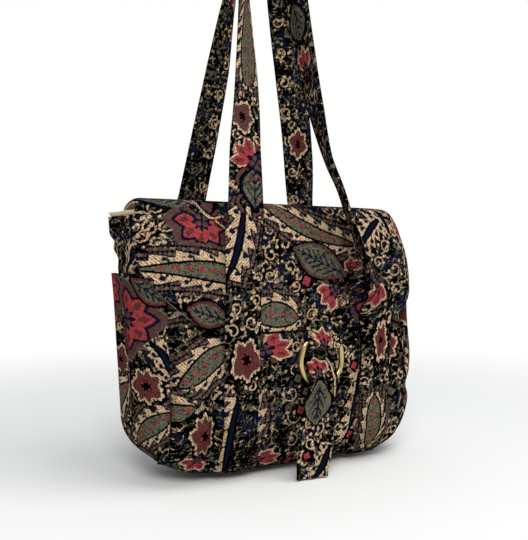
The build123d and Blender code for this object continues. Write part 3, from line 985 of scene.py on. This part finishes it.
# The flap's inner face seen from the side, from its lower edge over the mouth to the back seam
def flapInner():
    height, bottom, sewn = bag["height"], flapSize["bottom"], flapSize["sewnFrom"]
    topClear = height + 4 + 0.9
    mouthClear = halfDepth(shellForm, height) + 0.3
    backSeam = halfDepth(shellForm, sewn) + 0.3
    frontLow = halfDepth(pocketForm, bottom) + 0.3
    frontHigh = halfDepth(pocketForm, pockets["sideTop"]) + 4
    crest = flapSize["crest"] - flapSize["thick"]
    return [
        (0, -frontLow, bottom),
        (0, -frontLow - 0.3, bottom + 30),
        (0, -frontHigh + 0.3, pockets["sideTop"] + 6),
        (0, -mouthClear - 9.5, height - 20),
        (0, -mouthClear - 4.5, height - 4),
        (0, -mouthClear + 4, topClear + 3.5),
        (0, -25, crest - 2.5),
        (0, 5, crest),
        (0, 30, crest - 1.5),
        (0, mouthClear - 4, topClear + 3.5),
        (0, mouthClear + 3.2, height - 3),
        (0, backSeam + 0.8, height - 16),
        (0, backSeam, sewn),
    ]


flapBend = {"flat": 114.0, "round": 54.0}


# The flap's ends bend round with the body
def narrowed(x):
    over = min(max(abs(x) - flapBend["flat"], 0), flapBend["round"] - 1)
    return 1 - (flapBend["round"] - sqrt(flapBend["round"] ** 2 - over**2)) / pocketForm["depths"][1]


flapLine = smoothPath(flapInner(), 2.0)
flapLengths = lengthsAlong(flapLine)
# The flap's half width at each height of its rounded front
flapOutline = smoothPath([(93, 0, 146), (113, 0, 154), (131, 0, 168), (143, 0, 179.5), (153, 0, 193),
                          (160, 0, 209), (163, 0, 226)], 2.0)


def flapReach(z):
    for low, high in zip(flapOutline, flapOutline[1:]):
        if low.z <= z <= high.z:
            return low.x + (high.x - low.x) * (z - low.z) / max(high.z - low.z, 1e-6)
    return flapSize["half"] if z > flapSize["bottom"] + 1 else flapSize["halfBottom"]


def flapPlace(lift):
    def place(u, v):
        along = flapLengths[-1] * v
        here, way = pick(flapLine, flapLengths, along)
        front = along < flapLengths[-1] * 0.5
        reach = flapReach(here.z) if front else flapSize["half"]
        crown = smoothStep(246, 268, here.z) if front else 1.0
        # The crown is narrower, most at its right end in front and its left end behind
        reach -= (11.0 if u > 0.5 else 3.0 + 13.0 * (not front) * smoothStep(0.5, 0.62, v)) * crown
        x = (2 * u - 1) * reach
        away = Vector((0, -way.z, way.y))
        point = here + away * lift
        point.x = x
        point.y *= narrowed(x)
        return tuple(point), (x, along)
    return place


flapCloth = clothGrid("flapCloth", 222, 200, flapPlace(2.0))
thicken(flapCloth, bag["cloth"])
finishPiece(flapCloth, "tapestry", ["flap"], weaveFlap)
flapLining = clothGrid("flapLining", 100, 90, flapPlace(0.5))
thicken(flapLining, bag["liningCloth"])
finishPiece(flapLining, "lining", ["flap_lining"])
print("flap done")


strapSize = {"width": 38.0, "thick": 3.2, "around": 64, "along": 1.5, "step": 3.0}
strapLie = 0.9 + strapSize["thick"] / 2
sewnLow = (8, 9.2, 11, 13.5, 17, 22, 28, 35)  # heights where the straps follow the bag's lower bend


def flapFront(z):
    for low, high in zip(flapLine, flapLine[1:]):
        if high.z >= z:
            part = (z - low.z) / max(high.z - low.z, 1e-6)
            return -(low.y + (high.y - low.y) * part) + flapSize["thick"]
    return 0


# Every stop of a strap is a place and the turn of the strap's width there
def frontLeg(x, top, leave):
    low = sewnLow + (43, 53, 70, 95, 115, 128)
    stops = [(x, -faceDepth(pocketForm, 0, z) - strapLie, z, 180) for z in low]
    over = [145, 151] + ([174, 202] if top > 202 else [])
    stops += [(x, -flapFront(z) - strapLie, z, 180) for z in over]
    return stops + [(x, -flapFront(top) - strapLie - leave, top, 180)]


def backLeg(x, top, turn):
    low = sewnLow + (42, 50, 70, 95, 125, 155, 180, 200)
    stops = [(x, faceDepth(shellForm, 0, z) + strapLie, z, turn) for z in low]
    seam = halfDepth(shellForm, 226) + 0.3 + 0.8 + 3 + strapLie
    return stops + [(x, seam, z, turn) for z in (218, 226, (226 + top) / 2, top)]


frontStops = frontLeg(-69, 236, 3.2) + [
    (-64, -66, 268, 182), (-60, -58, 322, 193), (-56, -53, 362, 203), (-53.5, -48, 402, 212),
    (-52, -43, 440, 222), (-50, -37, 484, 232), (-43, -29, 550, 252), (-20, -18, 600, 266),
    (3, -28, 550, 270), (8, -39, 485, 270), (13.5, -49, 420, 266), (21, -58, 364, 257),
    (30, -66, 316, 244), (39, -73, 288, 241), (46, -79, 260, 241), (55, -84, 232, 241),
    (67, -87, 208, 236), (79, -84.5, 188, 216), (86, -78.5, 173, 194),
] + list(reversed(frontLeg(89, 158, 0)))
backStops = backLeg(-69, 256, 0) + [
    (-65, 57.5, 284, 16), (-53, 50, 353, 20), (-40, 44, 426, 28), (-29, 38, 499, 48),
    (-17, 29, 554, 74), (6, 18, 600, 88), (29, 29, 554, 106), (40, 38, 505, 152),
    (51, 44, 438, 170), (64, 50, 363, 174), (75, 57, 290, 176),
] + list(reversed(backLeg(83, 256, 180)))


# A place round the strap's section: two flats with rounded edges
def strapEdge(u):
    radius = strapSize["thick"] / 2
    flat = strapSize["width"] - 2 * radius
    turn = pi * radius
    along = (u % 1.0) * 2 * (flat + turn)
    hand = 1 if along < flat + turn else -1
    along %= flat + turn
    if along < flat:
        across, rise = flat / 2 - along, radius + 0.5 * sin(pi * along / flat)
    else:
        angle = (along - flat) / radius
        across, rise = -flat / 2 - radius * sin(angle), radius * cos(angle)
    return across * hand, rise * hand


def strapPiece(name, stops):
    line = smoothPath([stop[:3] for stop in stops], strapSize["step"])
    lengths = lengthsAlong(line)
    marks = [0.0]  # the length at each stop, for the turns
    passed = 0
    for first, second in zip(stops, stops[1:]):
        gap = (Vector(second[:3]) - Vector(first[:3])).length
        passed += max(int(round(gap / strapSize["step"])), 1)
        marks.append(lengths[passed])
    turns = [stop[3] for stop in stops]

    def place(u, v):
        along = lengths[-1] * v
        here, way = pick(line, lengths, along)
        turn = radians(float(np.interp(along, marks, turns)))
        wide = Vector((cos(turn), sin(turn), 0))
        wide = (wide - way * wide.dot(way)).normalized()
        thin = way.cross(wide)
        across, rise = strapEdge(u)
        side = across if rise >= 0 else 2 * strapSize["width"] - across
        return tuple(here + wide * across + thin * rise), (side, along)
    piece = clothGrid(name, strapSize["around"], int(lengths[-1] / strapSize["along"]), place)
    outwards(piece, True)
    return piece


frontHandle = strapPiece("frontHandle", frontStops)
finishPiece(frontHandle, "tapestry", ["front_handle"], weaveFrontHandle)
backHandle = strapPiece("backHandle", backStops)
finishPiece(backHandle, "tapestry", ["back_handle"], weaveBackHandle)
print("straps done")


closure = {"x": 18.0, "barY": -74.372, "barZ": 131.0, "tilt": 6.0, "tabWidth": 37.0,
           "tabOver": 8.0, "clear": 3.8}


# Upright at both its ends
def hook(start, end):
    middle = (start[1] + end[1]) / 2
    points = []
    for step in range(9):
        t = step / 8
        y = start[0] * ((1 - t) ** 3 + 3 * t * (1 - t) ** 2) + end[0] * (t**3 + 3 * t * t * (1 - t))
        z = (start[1] * (1 - t) ** 3 + 3 * middle * t * (1 - t) ** 2 + 3 * middle * t * t * (1 - t)
             + end[1] * t**3)
        points.append((0, y, z))
    return points


# A band of cloth along a line drawn from the side. shape moves a place across and outwards
def ribbonPiece(name, line, widthAt, thick, turnedBy, origin, spacing, shape=None):
    line = [Vector(point) for point in line]
    lengths = lengthsAlong(line)
    spin = Matrix.Rotation(radians(turnedBy), 3, "Y")

    def place(u, v):
        along = lengths[-1] * v
        here = pick(line, lengths, along)[0]
        x = (2 * u - 1) * widthAt(here.z)
        aside, out = shape(2 * u - 1, here.z) if shape else (0, 0)
        point = spin @ (here + Vector((x + aside, -out, 0))) + Vector(origin)
        return tuple(point), (x, along)
    piece = clothGrid(name, 40, int(lengths[-1] / spacing), place)
    thicken(piece, thick)
    return piece


frontAt = -flapFront(flapSize["bottom"]) - 0.3 - 1.0 - closure["barY"]
backAt = -halfDepth(pocketForm, flapSize["bottom"]) - 1.5 - closure["barY"]
edgeAt = flapSize["bottom"] - closure["barZ"]
barClear = closure["clear"]
loop = [(0, -barClear * cos(a * pi / 12), -barClear * sin(a * pi / 12))
        for a in range(1, 12)]
tabLine = [(0, frontAt, edgeAt + closure["tabOver"] - step) for step in (0, 3, 6)]
tabLine += hook((frontAt, edgeAt), (-barClear, 0)) + loop + hook((barClear, 0), (backAt, edgeAt - 2.2))
ringTab = ribbonPiece("ringTab", tabLine, lambda z: closure["tabWidth"] / 2, bag["cloth"],
                      closure["tilt"], (closure["x"], closure["barY"], closure["barZ"]), 1.2)
finishPiece(ringTab, "tapestry", ["ring_tab"], weaveTab)

tail = {"half": 15.5, "flare": 7.5, "waist": 1.5, "narrow": 0.28, "thick": 2.4, "pleat": 2.6,
        "leanHigh": 8.5, "leanLow": 4.5, "x": 15.0}
tailLie = 65.972 + 0.3 + 1.5  # in front of the pocket's cloth
hang = closure["barY"] - 2.5 - 0.3 - 1.5
crossLow = closure["barZ"] - 27
tailLine = [(0, -tailLie, 129), (0, -tailLie, 127)] + hook((-tailLie, 125.2), (hang, crossLow))
tailLine += [(0, hang, z) for z in range(98, 0, -6)]


def tailWidth(z):
    if z > crossLow:
        return tail["half"]
    below = (crossLow - z) / (crossLow - 2)
    half = tail["half"] + tail["flare"] * below**0.7 - tail["waist"] * bump(0.45, 0.2, below)
    return half * (1 - tail["narrow"] * smoothStep(0.66, 1, below))


# Pleats that fan out below the ring, and a lean to the left
def tailShape(across, z):
    below = min(max((crossLow - z) / 60, 0), 1)
    pleat = tail["pleat"] * smoothStep(0, 0.12, below) * (1 - 0.55 * below)
    fold = cos(across * 2.6 * pi * (1 - 0.2 * below) + 0.5)
    fallen = crossLow - z
    aside = -tail["leanHigh"] * smoothStep(0, 60, fallen) - tail["leanLow"] * smoothStep(55, 105, fallen)
    out = pleat * (0.5 + 0.5 * fold) + 1.4 * across * below * smoothStep(40, 90, fallen)
    return aside, out


closureTail = ribbonPiece("closureTail", tailLine, tailWidth, tail["thick"], 0, (tail["x"], 0, 0), 1.3,
                          tailShape)
finishPiece(closureTail, "tapestry", ["closure_tail"], weaveTail)
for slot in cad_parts["d_ring"].material_slots:
    slot.material = brass
print("closure done")


deselectAll()
bpy.ops.mesh.primitive_plane_add(size=12, location=(0, 0, 0))
plane = bpy.context.object
plane.name = "floor"
pale = plain("paleFloor", "#f4f4f2")  # matt white card that fades into the white room
place = add(pale, "TexCoord").outputs["Object"]
far = add(pale, "VectorMath", {"operation": "LENGTH"}, i0=place)
fade = add(pale, "MapRange", {"interpolation_type": "SMOOTHSTEP"}, Value=far.outputs["Value"],
           i1=0.3, i2=1.1)
white = add(pale, "Emission", None, Color=(1, 1, 0.995, 1), Strength=1.0)
blended = add(pale, "MixShader", None, i0=fade,
              i1=pale.node_tree.nodes["Principled BSDF"], i2=white)
pale.node_tree.links.new(blended.outputs[0], pale.node_tree.nodes["Material Output"].inputs["Surface"])
plane.data.materials.append(pale)

room = {"seen": (1.0, 1.0, 0.995, 1), "glow": (0.93, 0.96, 1.0, 1), "strength": 0.42}
world = bpy.data.worlds.new("room")
bpy.context.scene.world = world
world.use_nodes = True
glow = world.node_tree.nodes["Background"]
glow.inputs["Color"].default_value = room["glow"]
glow.inputs["Strength"].default_value = room["strength"]
seen = add(world, "Background", None, Color=room["seen"])
ray = add(world, "LightPath")
either = add(world, "MixShader", None, i0=ray.outputs["Is Camera Ray"],
             i1=glow, i2=seen)
world.node_tree.links.new(either.outputs[0], world.node_tree.nodes["World Output"].inputs["Surface"])

lamps = (  # the name, the place, the size in metres and the watts
    ("window", (-0.9, -1.7, 1.7), 1.0, 32),
    ("ceiling", (0.5, -0.9, 2.3), 1.4, 22),
    ("fill", (1.5, -1.2, 0.8), 1.4, 8),
)
for name, place, size, energy in lamps:
    light = bpy.data.lights.new(name, "AREA")
    light.size = size
    light.energy = energy
    lamp = bpy.data.objects.new(name, light)
    bpy.context.collection.objects.link(lamp)
    lamp.location = place
    lamp.rotation_euler = (Vector((0, 0, 0.2)) - Vector(place)).to_track_quat("-Z", "Y").to_euler()

# The camera fitted to the bag: its focal length is in pixels of a frame 540 high
view = {
    "place": (-0.37232, -0.65267, 0.21283),
    "yaw": 29.202,
    "pitch": 0.661,
    "focus": 701.68,
    "frame": 540,
    "sensor": 24.0,
}
camera = bpy.data.cameras.new("camera")
camera.sensor_fit = "VERTICAL"
camera.sensor_height = view["sensor"]
camera.lens = view["focus"] * view["sensor"] / view["frame"]
cameraObject = bpy.data.objects.new("camera", camera)
bpy.context.collection.objects.link(cameraObject)
cameraObject.location = view["place"]
cameraObject.rotation_euler = (radians(90 - view["pitch"]), 0, -radians(view["yaw"]))
bpy.context.scene.camera = cameraObject
bpy.context.scene.view_settings.view_transform = "Standard"
print("room and camera done")
